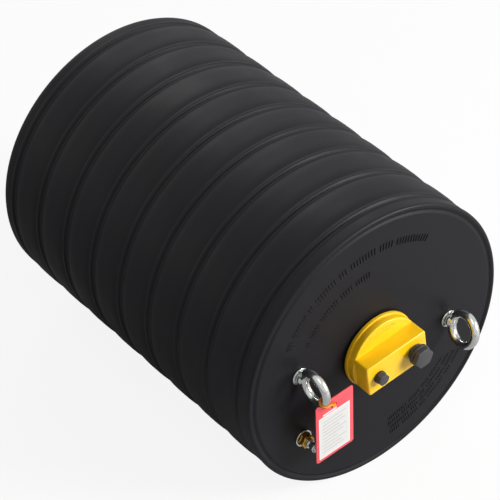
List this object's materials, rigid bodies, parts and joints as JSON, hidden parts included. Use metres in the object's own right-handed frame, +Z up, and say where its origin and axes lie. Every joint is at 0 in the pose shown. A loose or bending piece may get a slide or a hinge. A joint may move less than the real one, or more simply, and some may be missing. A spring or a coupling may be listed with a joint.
{
  "type": "inflatable pipe plug",
  "caption": "Cylindrical black rubber pipe plug with ribbed side, yellow bypass head, lifting eyes, inflation valve and hang tag, lying on its side.",
  "frame": {"origin": "on the floor, below the middle of the overall box, on the flat spot of the rubber", "axes": "+Z up, +Y along the plug's axis from its front face to its rear, +X to the right seen from the front"},
  "size_m": [0.35, 0.5278, 0.3485],
  "materials": {
    "rubber": "satin black moulded rubber",
    "seal_rubber": "matt black rubber",
    "yellow_plastic": "glossy yellow moulded plastic",
    "black_plastic": "fine-textured black plastic",
    "zinc_plate": "bright zinc-plated steel",
    "brass": "bright turned brass",
    "red_plastic": "red printed plastic card",
    "orange_plastic": "orange nylon"
  },
  "bodies": {
    "root": {"bladder": "rubber", "head_body": "yellow_plastic", "large_port_plug": "black_plastic", "large_port_plug_seal": "seal_rubber", "small_port_plug": "black_plastic", "small_port_plug_seal": "seal_rubber", "front_gasket": "seal_rubber", "front_clamp_washer": "zinc_plate", "front_clamp_nut": "yellow_plastic", "rear_hub": "yellow_plastic", "rear_gasket": "seal_rubber", "rear_clamp_washer": "zinc_plate", "rear_clamp_nut": "yellow_plastic", "bypass_hose": "seal_rubber", "front_hose_clamp": "zinc_plate", "rear_hose_clamp": "zinc_plate", "left_eye_bolt": "zinc_plate", "left_eye_washer": "zinc_plate", "left_eye_insert": "zinc_plate", "right_eye_bolt": "zinc_plate", "right_eye_washer": "zinc_plate", "right_eye_insert": "zinc_plate", "valve_body": "brass", "valve_nipple": "zinc_plate", "valve_washer": "seal_rubber", "valve_inner_washer": "zinc_plate", "valve_locknut": "brass", "tag": "red_plastic", "cable_tie": "orange_plastic"}
  },
  "joints": []
}
